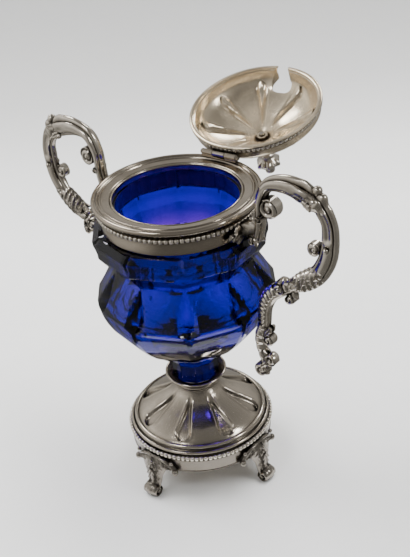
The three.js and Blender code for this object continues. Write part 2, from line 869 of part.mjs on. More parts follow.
function finialNut() {
  const high = lidZ + lidMiddle - sheet - gap;
  const low = high - 1.8;
  const inside = studRadius + gap;
  return ring([[inside, low], [2.4, low], [2.4, high], [inside, high]], 8);
}

function turnedCopies(names, makeShape, firstTurn, material) {
  const shape = makeShape();
  return names.map((name, i) => {
    const copy = namedMesh(name, shape, material);
    copy.rotation.z = degrees(firstTurn + (360 * i) / names.length);
    return copy;
  });
}

const bowl = new THREE.Group();
bowl.add(
  namedMesh("glass_bowl", glassBowl(), cobaltGlass),
  namedMesh("collar", collar(), silver),
  namedMesh("collar_bead_ring", beadRow(collarBeadRadius, collarBeadZ, beadRadius, collarBeads), silver),
  namedMesh("collar_plaster", collarPlaster(), plaster),
  namedMesh("dish", dish(), silver),
  namedMesh("dish_plaster", dishPlaster(), plaster),
  namedMesh("neck_ring", neckRing(), darkSilver),
  namedMesh("stem_rod", stemRod(), iron),
  namedMesh("foot_nut", footNut(), iron),
  namedMesh("foot_dome", footDome(), silver),
  namedMesh("foot_bead_ring", beadRow(footBeadCentre, footBeadZ, beadRadius, footBeads), silver),
  namedMesh("skirt_band", skirtBand(), silver),
  ...turnedCopies(["handle_right", "handle_left"], handle, 0, silver),
  ...turnedCopies(["foot_front", "foot_right", "foot_back", "foot_left"], foot, -90, darkSilver),
);

const lid = new THREE.Group();
const lidPieces = new THREE.Group();
lidPieces.position.y = -hingeRadius;
lidPieces.rotation.z = degrees(lidTurn);
lidPieces.add(
  namedMesh("lid", lidShell(), paleGilt),
  namedMesh("lid_bead_ring", lidBeadRow(), silver),
  namedMesh("finial", finial(), silver),
  namedMesh("finial_nut", finialNut(), darkSilver),
);
lid.add(lidPieces, namedMesh("lid_hinge_leaf", lidHingeLeaf(), silver));
lid.position.set(0, hingeRadius, rimZ + hingeRise);
lid.rotation.x = degrees(-openAngle);

const hinge = new THREE.Group();
const pin = namedMesh("hinge_pin", hingePin(), silver);
pin.position.copy(lid.position);
hinge.add(namedMesh("hinge_plate", hingePlate(), silver), pin, lid);
hinge.rotation.z = degrees(hingeTurn);

// The origin is the middle of the floor under the whole, lid open.
const pot = new THREE.Group();
pot.add(bowl, hinge);
pot.updateMatrixWorld(true);
const extent = new THREE.Box3().setFromObject(pot, true);
pot.position.set(-(extent.min.x + extent.max.x) / 2, -(extent.min.y + extent.max.y) / 2, -extent.min.z);

export default pot;
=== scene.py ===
import json
import math

import bmesh
import bpy
import numpy as np
from mathutils import Matrix, Vector


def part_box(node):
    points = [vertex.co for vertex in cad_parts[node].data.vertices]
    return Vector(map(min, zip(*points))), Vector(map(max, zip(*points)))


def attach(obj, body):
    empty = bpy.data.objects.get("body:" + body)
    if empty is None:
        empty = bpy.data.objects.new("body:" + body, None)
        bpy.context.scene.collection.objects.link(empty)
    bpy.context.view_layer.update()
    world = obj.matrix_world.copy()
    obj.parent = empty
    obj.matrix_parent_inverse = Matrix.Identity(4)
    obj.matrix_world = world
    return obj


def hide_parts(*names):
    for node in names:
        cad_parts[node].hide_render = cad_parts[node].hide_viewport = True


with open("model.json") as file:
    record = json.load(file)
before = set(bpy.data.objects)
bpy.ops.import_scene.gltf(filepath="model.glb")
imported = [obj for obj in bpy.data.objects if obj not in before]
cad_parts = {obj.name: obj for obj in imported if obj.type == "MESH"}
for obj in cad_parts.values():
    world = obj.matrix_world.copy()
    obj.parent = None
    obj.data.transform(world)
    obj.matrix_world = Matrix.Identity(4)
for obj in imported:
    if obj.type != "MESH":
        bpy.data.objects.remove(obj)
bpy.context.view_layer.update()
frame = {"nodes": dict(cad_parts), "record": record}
print("frame loaded:", len(frame["nodes"]), "solids")

mm = 0.001
collarLow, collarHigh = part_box("collar")
bowlAxis = Vector(((collarLow.x + collarHigh.x) / 2, (collarLow.y + collarHigh.y) / 2, 0))

camera = {
    "place": (229.5, -245.1, 294.7),   # mm from the bowl's axis and the floor
    "aim": (5.4, 5.05, 85.6),
    "lens": 65.6,
    "sensor": 36,                      # mm, upright
    "roll": -5.648,                    # degrees
}
floor = {
    "front": 1500,       # mm in front of the sweep
    "width": 4000,
    "sweepStart": 330,   # mm behind the bowl
    "sweepRadius": 420,
    "wall": 1500,
    "drop": 0.05,        # mm, the wide floor lies this much under the near card
    "colour": (0.89, 0.89, 0.88, 1),
    "grain": (0.92, 0.92, 0.91, 1),
    "near": 64,          # mm, radius of the card that the silver mirrors
    "fadeStart": 200,    # mm behind the bowl, where the painted shade on the card starts
    "fadeLength": 500,
    # painted shade: the card's colour darkens with distance behind the bowl
    "paintedShadeRamp": [(0.0, (1, 1, 1, 1)), (0.18, (0.86, 0.86, 0.86, 1)), (0.39, (0.60, 0.60, 0.60, 1)),
             (0.66, (0.41, 0.41, 0.41, 1)), (1.0, (0.33, 0.33, 0.33, 1))],
}


def placeCamera():
    data = bpy.data.cameras.new("camera")
    data.sensor_fit = "VERTICAL"
    data.sensor_height = camera["sensor"]
    data.lens = camera["lens"]
    data.clip_start = 0.01
    data.clip_end = 20
    place = Vector(camera["place"]) * mm + bowlAxis
    aim = Vector(camera["aim"]) * mm + bowlAxis
    back = (place - aim).normalized()
    level = Vector((0, 0, 1)).cross(back).normalized()
    upright = back.cross(level)
    roll = math.radians(camera["roll"])
    right = level * math.cos(roll) + upright * math.sin(roll)
    up = upright * math.cos(roll) - level * math.sin(roll)
    item = bpy.data.objects.new("camera", data)
    item.matrix_world = Matrix((
        (right.x, up.x, back.x, place.x),
        (right.y, up.y, back.y, place.y),
        (right.z, up.z, back.z, place.z),
        (0, 0, 0, 1),
    ))
    bpy.context.scene.collection.objects.link(item)
    bpy.context.scene.camera = item
    return back, right


# One wire of a node tree, with arithmetic on it. A bare wire only adds nodes.
class Wire:
    def __init__(self, tree, socket=None):
        self.tree = tree
        self.socket = socket

    def node(self, kind, settings=None, links=None, out=0):
        made = self.tree.nodes.new(kind)
        for key, value in (settings or {}).items():
            if key == "stops":
                ramp = made.color_ramp.elements
                while len(ramp) < len(value):
                    ramp.new(0.5)
                for stop, (position, colour) in zip(ramp, value):
                    stop.position = position
                    stop.color = colour
            else:
                setattr(made, key, value)
        for key, value in (links or {}).items():
            if isinstance(value, Wire):
                self.tree.links.new(value.socket, made.inputs[key])
            else:
                made.inputs[key].default_value = value
        return Wire(self.tree, made.outputs[out])

    def math(self, operation, *values, clamp=False):
        return self.node("ShaderNodeMath", {"operation": operation, "use_clamp": clamp},
                         dict(enumerate(values)))

    def __add__(self, other):
        return self.math("ADD", self, other)

    def __radd__(self, other):
        return self.math("ADD", other, self)

    def __sub__(self, other):
        return self.math("SUBTRACT", self, other)

    def __rsub__(self, other):
        return self.math("SUBTRACT", other, self)

    def __mul__(self, other):
        return self.math("MULTIPLY", self, other)

    def __rmul__(self, other):
        return self.math("MULTIPLY", other, self)

    def clamped(self):
        return self.math("MULTIPLY", self, 1.0, clamp=True)

    def along(self, way):
        return self.node("ShaderNodeVectorMath", {"operation": "DOT_PRODUCT"}, {0: self, 1: way}, out="Value")

    def tinted(self, shade):
        return self.node("ShaderNodeMix", {"data_type": "RGBA", "blend_type": "MULTIPLY"},
                         {0: 1.0, 6: self, 7: shade}, out=2)

    def mixed(self, first, second):
        return self.node("ShaderNodeMix", {"data_type": "RGBA"},
                         {0: self, 6: first, 7: second}, out=2)


def newFinish(name):
    finish = bpy.data.materials.new(name)
    finish.use_nodes = True
    tree = finish.node_tree
    shader = tree.nodes["Principled BSDF"]
    wire = Wire(tree)
    place = wire.node("ShaderNodeTexCoord", out="Object")
    return finish, shader, wire, place


def plug(shader, **wires):
    for name, wire in wires.items():
        socket = shader.inputs[name.replace("_", " ")]
        if isinstance(wire, Wire):
            shader.id_data.links.new(wire.socket, socket)
        else:
            socket.default_value = wire


def noise(wire, place, scale, detail=3.0, rough=0.55):
    return wire.node("ShaderNodeTexNoise", {}, {"Vector": place, "Scale": scale, "Detail": detail,
                                               "Roughness": rough})


# Silver that is bright on what hands and cloths reach, and brown to black in its hollows. Reach is
# how wide a hollow may be in metres, hollowing how dark it goes, film the share of dull tarnish.
silvers = {
    "polishedSilver": {"bright": (0.60, 0.53, 0.435, 1), "dull": (0.42, 0.36, 0.285, 1),
                       "hollow": (0.07, 0.056, 0.042, 1), "reach": 0.0028, "rough": 0.13,
                       "hollowing": 1.0, "film": 0.0},
    "castSilver": {"bright": (0.88, 0.81, 0.70, 1), "dull": (0.52, 0.465, 0.385, 1),
                   "hollow": (0.035, 0.028, 0.022, 1), "reach": 0.0031, "rough": 0.17,
                   "hollowing": 1.5, "film": 0.0},
    "lidSilver": {"bright": (0.95, 0.82, 0.62, 1), "dull": (0.68, 0.55, 0.38, 1),
                  "hollow": (0.12, 0.088, 0.055, 1), "reach": 0.005, "rough": 0.2,
                  "hollowing": 1.1, "film": 0.32},
    # The foot dome's copy: tarnish in its hollows, with painted shade that reaches wider and goes darker than
    # elsewhere.
    "footSilverPaintedShade": {"bright": (0.66, 0.59, 0.49, 1), "dull": (0.46, 0.40, 0.32, 1),
                   "hollow": (0.03, 0.024, 0.018, 1), "reach": 0.0052, "rough": 0.13,
                   "hollowing": 1.7, "film": 0.1},
    # A brighter copy of the silver for the bead rows: painted highlight.
    "beadSilverPaintedHighlight": {"bright": (0.95, 0.88, 0.76, 1), "dull": (0.72, 0.65, 0.54, 1),
                   "hollow": (0.05, 0.04, 0.03, 1), "reach": 0.001, "rough": 0.16,
                   "hollowing": 0.7, "film": 0.2},
    # A darker copy of the silver for the legs, with deeper hollows: painted shade.
    "legSilverPaintedShade": {"bright": (0.42, 0.385, 0.335, 1), "dull": (0.25, 0.222, 0.186, 1),
                  "hollow": (0.03, 0.025, 0.02, 1), "reach": 0.003, "rough": 0.19,
                  "hollowing": 1.6, "film": 0.1},
    # A darker copy of the silver for the skirt band: painted shade, standing for the shaded floor that it
    # mirrors.
    "bandSilverPaintedShade": {"bright": (0.29, 0.262, 0.225, 1), "dull": (0.21, 0.187, 0.155, 1),
                   "hollow": (0.07, 0.056, 0.042, 1), "reach": 0.0028, "rough": 0.16,
                   "hollowing": 1.0, "film": 0.0},
}
hollowStops = [(0.10, (0, 0, 0, 1)), (0.62, (1, 1, 1, 1))]


def silverFinish(name):
    tone = silvers[name]
    finish, shader, wire, place = newFinish(name)
    cloud = noise(wire, place, 55.0, 4.0)                # dull patches, some millimetres wide
    speck = noise(wire, place, 900.0, 2.0)               # small dents, about a millimetre wide
    fine = noise(wire, place, 3500.0, 1.0)               # scratches of the cloth
    lit = wire.node("ShaderNodeAmbientOcclusion", {"samples": 6}, {"Distance": tone["reach"]}, out="AO")
    shut = ((1 - lit) * tone["hollowing"] + (speck - 0.5) * 0.12).clamped()
    clouds = ((cloud - 0.38) * 2.6).clamped()
    shade = wire.node("ShaderNodeValToRGB", {"stops": hollowStops}, {0: shut})
    bump = wire.node("ShaderNodeBump", {}, {"Strength": 0.06, "Distance": 0.0001, "Height": speck})
    plug(shader,
         Base_Color=shade.mixed(clouds.mixed(tone["bright"], tone["dull"]), tone["hollow"]),
         Roughness=tone["rough"] + clouds * 0.08 + shut * 0.25 + (fine - 0.5) * 0.05,
         Metallic=1 - clouds * tone["film"],
         Normal=bump)
    return finish


cobalt = {
    "clear": (0.80, 0.34, 0.90, 1),    # tints of the surface, between which it wanders
    "smeared": (0.86, 0.39, 0.94, 1),
    "depth": (0.36, 0.0, 0.83, 1),     # what the thickness lets through
    "density": 720.0,
    "bending": 1.5,
}


def glassFinish():
    finish, shader, wire, place = newFinish("cobaltGlass")
    smear = noise(wire, place, 60.0, 3.0)
    plug(shader, Base_Color=smear.mixed(cobalt["clear"], cobalt["smeared"]), Roughness=0.015 + smear * 0.03)
    shader.inputs["Transmission Weight"].default_value = 1.0
    shader.inputs["IOR"].default_value = cobalt["bending"]
    depth = wire.node("ShaderNodeVolumeAbsorption", {},
                      {"Color": cobalt["depth"], "Density": cobalt["density"]})
    output = finish.node_tree.nodes["Material Output"]
    finish.node_tree.links.new(depth.socket, output.inputs["Volume"])
    return finish


def plasterFinish():
    finish, shader, wire, place = newFinish("plaster")
    grain = noise(wire, place, 1500.0, 4.0)
    plug(shader, Base_Color=grain.mixed((0.62, 0.58, 0.5, 1), (0.8, 0.77, 0.7, 1)),
         Roughness=0.85 + grain * 0.1)
    return finish


def steelFinish():
    finish, shader, wire, place = newFinish("threadedSteel")
    grain = noise(wire, place, 1200.0, 4.0)
    rust = ((noise(wire, place, 300.0) - 0.5) * 4).clamped()
    plug(shader, Base_Color=rust.mixed((0.32, 0.3, 0.28, 1), (0.2, 0.12, 0.07, 1)),
         Roughness=0.4 + grain * 0.25, Metallic=1.0)
    return finish


silverOf = {name: silverFinish(name) for name in silvers}
slotFinish = {"cobalt_glass": glassFinish(), "plaster": plasterFinish(), "steel": steelFinish(),
              "silver": silverOf["polishedSilver"], "cast_silver": silverOf["castSilver"],
              "lid_silver": silverOf["lidSilver"]}
wearAndPaintedLightAs = {                             # nodes whose finish differs from the rest of their slot: the lid's gilt on the finial nut, painted highlight on the beads, painted shade on the dome, band and legs
    "foot_dome": "footSilverPaintedShade", "skirt_band": "bandSilverPaintedShade", "finial_nut": "lidSilver",
    "collar_bead_ring": "beadSilverPaintedHighlight", "foot_bead_ring": "beadSilverPaintedHighlight", "lid_bead_ring": "beadSilverPaintedHighlight",
    "foot_front": "legSilverPaintedShade", "foot_right": "legSilverPaintedShade", "foot_back": "legSilverPaintedShade", "foot_left": "legSilverPaintedShade",
}
slotOf = {part["node"]: part["material_slot"] for part in frame["record"]["subparts"]}


def finishOf(node):
    return silverOf[wearAndPaintedLightAs[node]] if node in wearAndPaintedLightAs else slotFinish[slotOf[node]]


for node in slotOf:
    solid = frame["nodes"][node]
    solid.data.materials.clear()
    solid.data.materials.append(finishOf(node))
print("finishes made")


def spun(degrees, axis="Z"):
    return Matrix.Rotation(math.radians(degrees), 4, axis)


# Where the lid's own pieces stand: shut on the bowl's axis, then turned open about the hinge.
hinge = {
    "radius": 28.7,      # mm, bowl's axis to the pin
    "height": 127.3,
    "turn": 4.2,         # degrees, hinge from the back towards the left handle
    "open": 165,
    "patternTurn": -4,   # the lid's flutes against the hinge
}
bodyOf = {node: body for body, held in frame["record"]["behaviour"]["bodies"].items() for node in held}
onBowl = Matrix.Translation(bowlAxis) @ Matrix.Scale(mm, 4)
onLid = (onBowl @ spun(hinge["turn"]) @ Matrix.Translation((0, hinge["radius"], hinge["height"]))
         @ spun(-hinge["open"], "X") @ Matrix.Translation((0, -hinge["radius"], 0))
         @ spun(hinge["patternTurn"]))


def meshItem(made, name):
    data = bpy.data.meshes.new(name)
    made.to_mesh(data)
    made.free()
    item = bpy.data.objects.new(name, data)
    bpy.context.scene.collection.objects.link(item)
    return item


# Keeps a finished mesh as the piece that stands for a CAD node, sharp where it bends past the crease.
def keepPiece(made, name, node, place, crease=34):
    bmesh.ops.recalc_face_normals(made, faces=made.faces)
    limit = math.radians(crease)
    for edge in made.edges:
        edge.smooth = len(edge.link_faces) != 2 or edge.calc_face_angle(0) < limit
    for face in made.faces:
        face.smooth = True
    made.transform(place)
    item = meshItem(made, name)
    item.data.materials.append(finishOf(node))
    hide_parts(node)
    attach(item, bodyOf[node])


# Skins rows of points into a mesh. Rows close round; the ends are capped, or joined if looped.
def skin(rows, looped=False, made=None):
    made = made or bmesh.new()
    verts = [[made.verts.new(point) for point in row] for row in rows]
    count = len(rows[0])
    for i in range(len(rows) if looped else len(rows) - 1):
        near, far = verts[i], verts[(i + 1) % len(rows)]
        for j in range(count):
            k = (j + 1) % count
            made.faces.new((near[j], near[k], far[k], far[j]))
    if not looped:
        made.faces.new(verts[0])
        made.faces.new(verts[-1])
    return made


def circle(steps):
    return [2 * math.pi * i / steps for i in range(steps)]


# A profile of (radius, height) in mm, turned about the upright axis.
def turned(profile, steps, made=None):
    rows = [[(radius * math.cos(a), radius * math.sin(a), height) for a in circle(steps)]
            for radius, height in profile]
    return skin(rows, True, made)


# A smooth curve through points of any size, with spans between each two.
def through(points, spans):
    points = [np.array(point, float) for point in points]
    padded = [2 * points[0] - points[1], *points, 2 * points[-1] - points[-2]]
    curve = []
    for i in range(1, len(padded) - 2):
        a, b, c, d = padded[i - 1:i + 3]
        for k in range(spans):
            t = k / spans
            curve.append(0.5 * (2 * b + (c - a) * t + (2 * a - 5 * b + 4 * c - d) * t ** 2
                                + (3 * b - a - 3 * c + d) * t ** 3))
    return curve + [points[-1]]


# Points round a bit of a circle, from its first to its last angle in degrees.
def arc(x, z, radius, first, last, spans):
    return [(x + radius * math.cos(math.radians(first + (last - first) * i / spans)),
             z + radius * math.sin(math.radians(first + (last - first) * i / spans)))
            for i in range(spans + 1)]


# Squares off the sine or cosine of a circle by a power under 1.
def squared(value, power):
    return math.copysign(abs(value) ** power, value)


# A smooth bump of height 1 at its middle.
def hump(value, middle, width):
    return math.exp(-((value - middle) / width) ** 2)


# 0 below 0 and 1 above 1, with a soft step between.
def ease(value):
    value = min(max(value, 0.0), 1.0)
    return value * value * (3 - 2 * value)


# The bowl's glass, cut with flat sides and with lobes between valleys above them.
glassShape = {
    "sides": 10,
    "perSide": 22,        # points along a side
    "turn": 5,            # degrees, first corner from the front towards the right handle
    "outside": [          # mm: height, radius at a corner, radius at a side's middle
        (42.6, 9.7, 9.23), (46, 9.6, 9.2), (50.6, 9.7, 9.3), (52.4, 10.6, 10.2), (54.2, 12.6, 12.1),
        (56.6, 15.6, 15), (60, 19.6, 18.8), (64, 24.4, 23.3), (68, 28.2, 26.9), (72, 31.2, 29.8),
        (76, 33.2, 31.8), (79.4, 33.9, 33.1), (81.6, 34.1, 33.7), (82.6, 33.4, 34.2), (84, 31.2, 34.6),
        (87, 29, 32.7), (90, 27.9, 30.8), (93.5, 27.4, 28.6), (96.6, 27.3, 26.6), (97.5, 27.3, 25.97),
        (98.4, 28, 26.5), (104.4, 32.5, 30.8), (105.2, 32.9, 31.2), (109.2, 33.3, 32.1), (110, 33.4, 32.5),
        (111.4, 33.1, 32.8), (113.2, 30.4, 30.3), (113.6, 28.6, 28.6), (114, 26.3, 26.3), (121.6, 26.3, 26.3),
    ],
    # mm: height, radius
    "inside": [(121.6, 23.3), (118, 23.3), (97.5, 22.5), (90, 24.2), (81, 28.4), (76, 26.8), (70, 23.2),
               (66.4, 18), (64.4, 11.8), (63.7, 6), (63.6, 0.4)],
    "valleySlope": 0.62,  # mm of radius for each degree out of the valley between two lobes
    "edgeWear": (0.25, 0.9),   # mm off a lobe's cut edge, and how far from it that reaches
    "shortRow": 1.2,      # mm, rows further apart than this are cut in three
    "tip": 0.4,           # mm, radius of the last ring inside
}


# The glass's radius at an angle from the middle of its side.
def lobeRadius(corner, middle, fromMiddle, half):
    flat = middle / math.cos(fromMiddle)
    atCorner = middle / math.cos(half)
    if corner >= atCorner - 0.05:              # a flat side, or one that bulges at its corners
        return flat + (corner - atCorner) * (abs(fromMiddle) / half) ** 2
    up = corner + glassShape["valleySlope"] * math.degrees(half - abs(fromMiddle))
    wear, spread = glassShape["edgeWear"]
    return min(flat, up) - wear * max(1 - abs(flat - up) / spread, 0) ** 2


def makeGlass():
    perSide = glassShape["perSide"]
    half = math.pi / glassShape["sides"]
    outside = glassShape["outside"]
    first = math.radians(glassShape["turn"] - 90)
    angles = [first + i * 2 * half / perSide for i in range(glassShape["sides"] * perSide)]
    rows = []
    for lower, upper in zip(outside, outside[1:]):
        cuts = 1 if upper[0] - lower[0] < glassShape["shortRow"] else 3
        for k in range(cuts):
            rows.append([a + (b - a) * (k / cuts) for a, b in zip(lower, upper)])
    rows.append(outside[-1])
    rings = []
    for height, corner, middle in rows:
        ring = []
        for i, angle in enumerate(angles):
            radius = lobeRadius(corner, middle, (i % perSide) / perSide * 2 * half - half, half)
            ring.append((radius * math.cos(angle), radius * math.sin(angle), height))
        rings.append(ring)
    for radius, height in through([(r, z) for z, r in glassShape["inside"]], 5):
        radius = max(radius, glassShape["tip"])
        rings.append([(radius * math.cos(angle), radius * math.sin(angle), height) for angle in angles])
    keepPiece(skin(rings), "bowl_glass", "glass_bowl", onBowl, 15)


makeGlass()
print("glass cut")

collar = {                # mm
    "lip": 23.9,          # radius of the mouth
    "flange": 32,
    "edge": 1.1,          # radius of the flange's rolled edge
    "rim": 125,           # height
    "beadRow": {"radius": 29.95, "height": 120.5, "bead": 0.95, "count": 100},
}


def makeCollar():
    rim = collar["rim"]
    edge = collar["flange"] - collar["edge"]
    profile = [
        (27.9, 114.1), (28.9, 114.1), (29.2, 114.4), (29.2, 118.9), (29.05, 119.2), (28.6, 119.35),
        (28.6, 121.65), (28.9, 121.8), (29.25, 122.2), (29.5, 122.8),
        *arc(edge, rim - 0.9, collar["edge"], -150, 120, 18),
        *through([(30.1, rim - 0.42), (29.6, rim - 0.62), (29.1, rim - 0.4)], 3),
        *arc(28.65, rim - 0.32, 0.33, 30, 165, 6),
        (28.2, rim - 0.42), *through([(27.6, rim - 0.48), (26.4, rim - 0.62), (25.4, rim - 0.72),
                                      (25, rim - 1.1)], 3),
        *arc(24.45, rim - 1.15, 0.42, 20, 180, 6), (collar["lip"], rim - 1.8), (collar["lip"], 121.9),
        (27.9, 121.9),
    ]
    keepPiece(turned(profile, 192), "rim_collar", "collar", onBowl)


bead = {
    "out": 0.92,          # shares of the bead's radius
    "up": 0.95,
    "wireIn": 0.35,
    "wire": 0.42,
    "along": 0.86,        # share of the pitch
    "square": 0.72,       # power that squares the ball, as rolled beads are
}


# A row of pinched beads on a thin wire behind them. A gap is its middle and half its width in degrees.
def makeBeads(name, node, row, place, gap=None):
    made = bmesh.new()
    centre, height, radius, count = row["radius"], row["height"], row["bead"], row["count"]
    size = (radius * bead["out"], math.pi * centre / count * bead["along"], radius * bead["up"])
    for angle in circle(count):
        if gap and abs(angle - math.radians(gap[0])) < math.radians(gap[1]):
            continue
        rows = []
        for polar in (math.pi * u / 7 for u in range(1, 7)):
            ring = []
            for spin in circle(10):
                point = (math.sin(polar) * math.cos(spin), math.sin(polar) * math.sin(spin), math.cos(polar))
                out, along, up = (squared(c, bead["square"]) * k for c, k in zip(point, size))
                out += centre
                ring.append((out * math.cos(angle) - along * math.sin(angle),
                             out * math.sin(angle) + along * math.cos(angle), height + up))
            rows.append(ring)
        skin(rows, False, made)
    middle, thick = centre - bead["wireIn"] * radius, bead["wire"] * radius
    wire = [(middle + thick * math.cos(a), height + thick * math.sin(a)) for a in circle(6)]
    if gap:
        rows = []
        for i in range(2 * count + 1):
            angle = math.radians(gap[0] + gap[1] + (360 - 2 * gap[1]) * i / (2 * count))
            rows.append([(r * math.cos(angle), r * math.sin(angle), z) for r, z in wire])
        skin(rows, False, made)
    else:
        turned(wire, 2 * count, made)
    keepPiece(made, name, node, place, 60)


makeCollar()
makeBeads("collar_beads", "collar_bead_ring", collar["beadRow"], onBowl)
print("collar turned")

foot = {                  # mm
    "skirtLow": 12.5,
    "skirtTop": 18.7,
    "edge": 21,           # height of the dome's edge
    "beadRow": {"radius": 29.5, "height": 19.85, "bead": 0.95, "count": 100},
    "channels": 8,
    "channelDepth": 1.5,
    "channelHalf": 9.2,   # degrees
    "channelOut": 25.2,
    "channelIn": 9.5,
    "turn": 22.5,         # degrees
}


channel = {
    "narrow": 0.35,       # share of its angle left at the axis
    "end": 0.8,           # rounding of the outer end, share of half the width there
    "start": 3,           # mm, how far it takes to reach its depth
    "side": 1.1,          # mm, how wide its sloping side is
    "lip": (0.22, -0.25, 0.45),        # mm: height of the raised border, place, spread
}


# How far a channel sinks the dome or the lid at a place, with a raised lip at its border.
def channelSink(radius, offset, shape):
    widening = channel["narrow"] + (1 - channel["narrow"]) * radius / shape["channelOut"]
    half = math.radians(shape["channelHalf"]) * radius * widening
    endRadius = channel["end"] * math.radians(shape["channelHalf"]) * shape["channelOut"]
    beyond = radius - (shape["channelOut"] - endRadius)
    if beyond > 0:
        half = half * math.sqrt(max(1 - (beyond / endRadius) ** 2, 0))
    inside = half - abs(offset * radius)
    start = ease((radius - shape["channelIn"]) / channel["start"])
    sink = shape["channelDepth"] * ease(inside / channel["side"]) * start
    high, place, spread = channel["lip"]
    return sink - high * hump(inside, place, spread) * start * (1 if half > 0.3 else 0)


def channelled(outside, inside, shape, steps=288):
    pitch = 2 * math.pi / shape["channels"]
    rings = []
    for radius, height in outside + inside:
        ring = []
        for angle in circle(steps):
            offset = (angle - math.radians(shape["turn"]) + pitch / 2) % pitch - pitch / 2
            ring.append((radius * math.cos(angle), radius * math.sin(angle),
                         height - channelSink(radius, offset, shape)))
        rings.append(ring)
    return skin(rings, True)


def makeFootDome():
    edge = foot["edge"]
    outside = [(28, 13.5), (28, edge), (28.7, edge), *arc(28.25, edge + 0.75, 0.72, -80, 150, 8),
               (27.35, edge + 1.3), (27.05, edge + 1.7), *arc(26.6, edge + 2.5, 0.95, -40, 140, 8),
               *through([(25.6, edge + 3.35), (24.3, edge + 4.6), (21.5, edge + 6.6), (18.1, edge + 8.6),
                         (14.2, edge + 10.7), (11.2, edge + 12.9), (9.4, edge + 15), (8.6, edge + 16)], 7),
               (8.6, 37.8), (2.4, 37.8)]
    inside = [(2.4, 36.9), (7.7, 36.9),
              *through([(10.6, edge + 11.4), (17.2, edge + 7.5), (23.5, edge + 4.1), (26.9, edge + 0.6)], 8),
              (27.1, 13.5)]
    keepPiece(channelled(outside, inside, foot), "foot_dome_raised", "foot_dome", onBowl, 50)


def makeFootRings():
    low, top = foot["skirtLow"], foot["skirtTop"]
    band = [(28.3, low), (29.0, low), *arc(28.95, low + 0.45, 0.42, -60, 60, 5), (29.1, low + 1.1),
            (29.12, top - 0.9), *arc(28.95, top - 0.45, 0.35, -60, 90, 5), (28.3, top)]
    keepPiece(turned(band, 192), "foot_band", "skirt_band", onBowl)
    makeBeads("foot_beads", "foot_bead_ring", foot["beadRow"], onBowl)
    ring = [(2.3, 38.1), (8.4, 38.1), *arc(8.4, 39, 0.9, -90, 90, 10), (2.3, 39.9)]
    keepPiece(turned(ring, 96), "neck_bead", "neck_ring", onBowl)
    dish = [(2.3, 40.2), (8, 40.2), *through([(9.7, 40.6), (10.9, 41.5), (11.9, 42.4)], 5),
            *arc(12.1, 43.0, 0.45, -40, 170, 8), *through([(11.3, 42.7), (10.6, 42), (10.1, 41.5)], 4),
            (9.1, 41.1), (2.3, 41.1)]
    keepPiece(turned(dish, 120), "stem_dish", "dish", onBowl)


makeFootDome()
makeFootRings()
print("foot turned")

lidShape = {              # mm, heights from the collar's seat
    "low": -2.4,
    "crown": 17.9,        # crown over the lid's lowest edge
    "channels": 8,
    "channelDepth": 1.45,
    "channelHalf": 6.2,   # degrees
    "channelOut": 23.2,
    "channelIn": 4,
    "turn": 22.5 - 90,
    "notch": [(2.5, 31), (2.5, 26.1), (2.9, 25.4), (3.8, 24.4), (4.45, 23.4), (4.6, 22.4), (4.3, 21.3),
              (3.5, 20.5), (2, 20)],           # half its width, radius
    "beadRow": {"radius": 26.4, "height": -0.75, "bead": 0.65, "count": 88},
    "beadGap": (270, 6.6),                     # degrees, where the notch opens the row
}


# Cuts a mesh by another with the exact solver, and gives the result back.
def cutAway(made, cutter):
    items = []
    for mesh in (made, cutter):
        bmesh.ops.recalc_face_normals(mesh, faces=mesh.faces)
        items.append(meshItem(mesh, "cut"))
    step = items[0].modifiers.new("cut", "BOOLEAN")
    step.operation = "DIFFERENCE"
    step.solver = "EXACT"
    step.object = items[1]
    result = bmesh.new()
    result.from_object(items[0], bpy.context.evaluated_depsgraph_get())
    for item in items:
        data = item.data
        bpy.data.objects.remove(item)
        bpy.data.meshes.remove(data)
    return result


def notchCutter():
    side = lidShape["notch"]
    outline = [(x, -out) for x, out in through(side, 3)] + [(-x, -out) for x, out in through(side, 3)[::-1]]
    return skin([[(x, y, z) for x, y in outline] for z in (-10, 30)])


def makeLid():
    low, crown = lidShape["low"], lidShape["low"] + lidShape["crown"]
    outside = [(26.92, low), (27.1, low + 0.15), (27.1, low + 0.55), (26.92, low + 0.7), (25.7, low + 0.7),
               (25.7, low + 2.9), (26, low + 3), (26, low + 4.9),
               *through([(25.9, low + 5.3), (25.3, low + 6.2), (22.4, low + 8.7), (18.2, low + 10.6),
                         (13, low + 12.3), (7.8, low + 14.1), (4.2, low + 16.4), (2.8, crown)], 7),
               (1.5, crown)]
    inside = [(1.5, low + 17),
              *through([(2.4, low + 17), (3.6, low + 15.5), (7.4, low + 13.2), (12.8, low + 11.4),
                        (17.8, low + 9.5), (21.4, low + 7.5), (23.7, low + 4.9), (24.6, low + 2.7),
                        (24.9, low + 1.5)], 7),
              (24.95, low + 1), (25.4, low + 0.75), (25.5, low + 0.15), (25.8, low)]
    made = cutAway(channelled(outside, inside, lidShape), notchCutter())
    keepPiece(made, "lid_raised", "lid", onLid, 40)
    makeBeads("lid_beads", "lid_bead_ring", lidShape["beadRow"], onLid, lidShape["beadGap"])


finial = {
    "height": 16.6,       # mm
    "clear": 0.3,         # mm over the lid's crown
    "stud": (1.05, 4.2),  # mm: radius, length down through the crown
    "stops": [            # share of the height, radius in mm
        (0.02, 3.3), (0.05, 3.4), (0.08, 2.6), (0.14, 1.7), (0.22, 1.45), (0.3, 1.6), (0.36, 2.3),
        (0.41, 3), (0.45, 2.6), (0.5, 3), (0.56, 4), (0.62, 4.8), (0.67, 4.9), (0.72, 4.4), (0.78, 3.2),
        (0.82, 2.2), (0.86, 1.7), (0.9, 2), (0.94, 2.05), (0.975, 1.5), (0.995, 0.6)],
}


